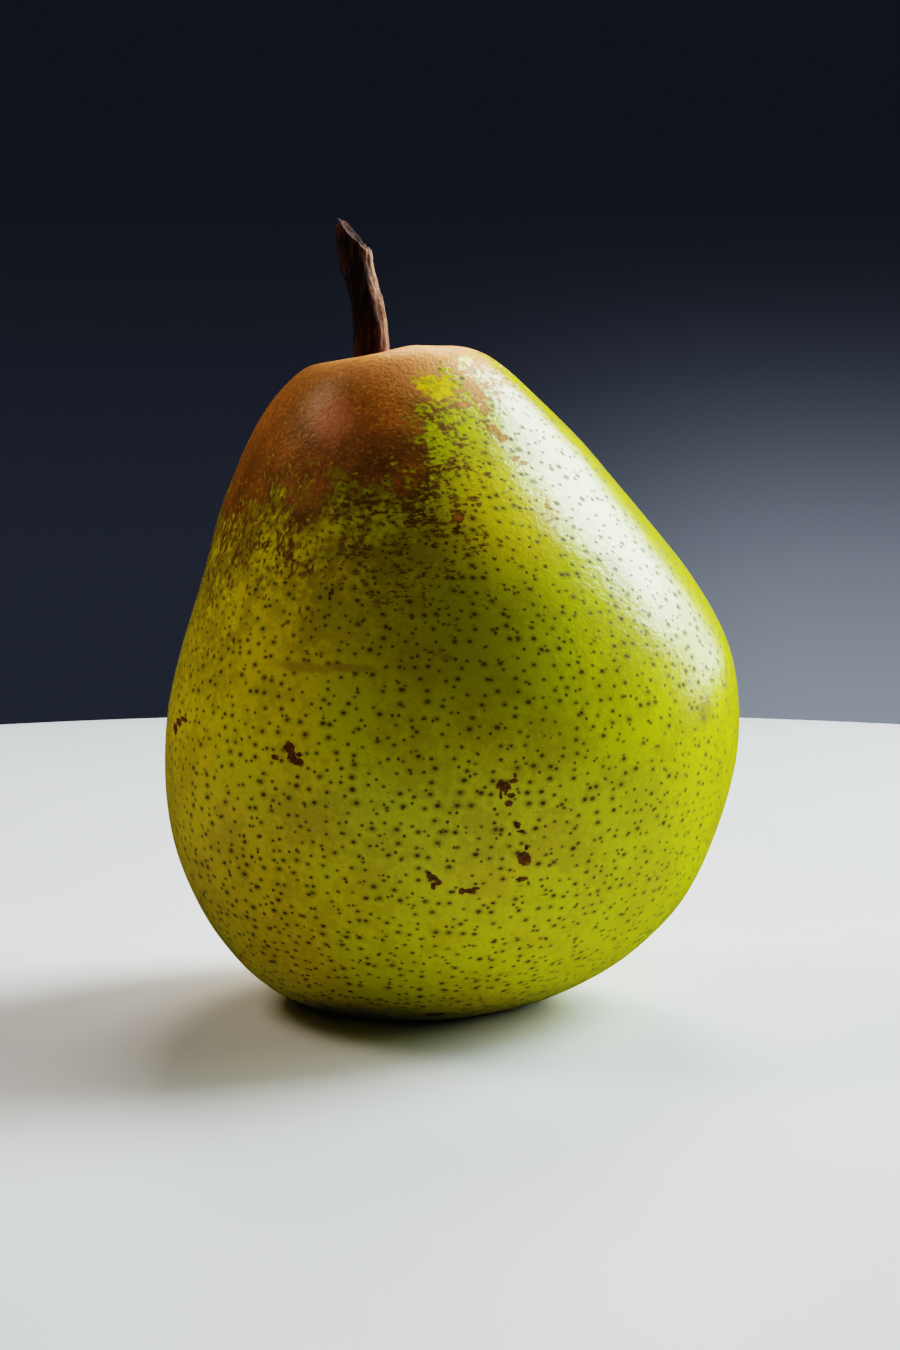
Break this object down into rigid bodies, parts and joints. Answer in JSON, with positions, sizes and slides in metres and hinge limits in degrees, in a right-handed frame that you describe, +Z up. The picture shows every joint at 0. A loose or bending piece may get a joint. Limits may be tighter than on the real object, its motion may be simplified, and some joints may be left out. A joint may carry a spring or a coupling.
{
  "type": "pear",
  "caption": "Ripe yellow-green pear with a leaning neck, russet round its short woody stem and a dried calyx in the hollow underneath, standing upright on a small flat spot.",
  "frame": {"origin": "on the floor, under the middle of the whole pear's box, stem included", "axes": "+Z up from the blossom end to the stem; the stem end leans towards -X and a little towards +Y"},
  "size_m": [0.0682, 0.0664, 0.092],
  "materials": {
    "skin": "satin",
    "stem_wood": "matte",
    "dried_calyx": "matte"
  },
  "bodies": {
    "root": {"fruit": "skin", "stem": "stem_wood", "calyx": "dried_calyx"}
  },
  "joints": []
}
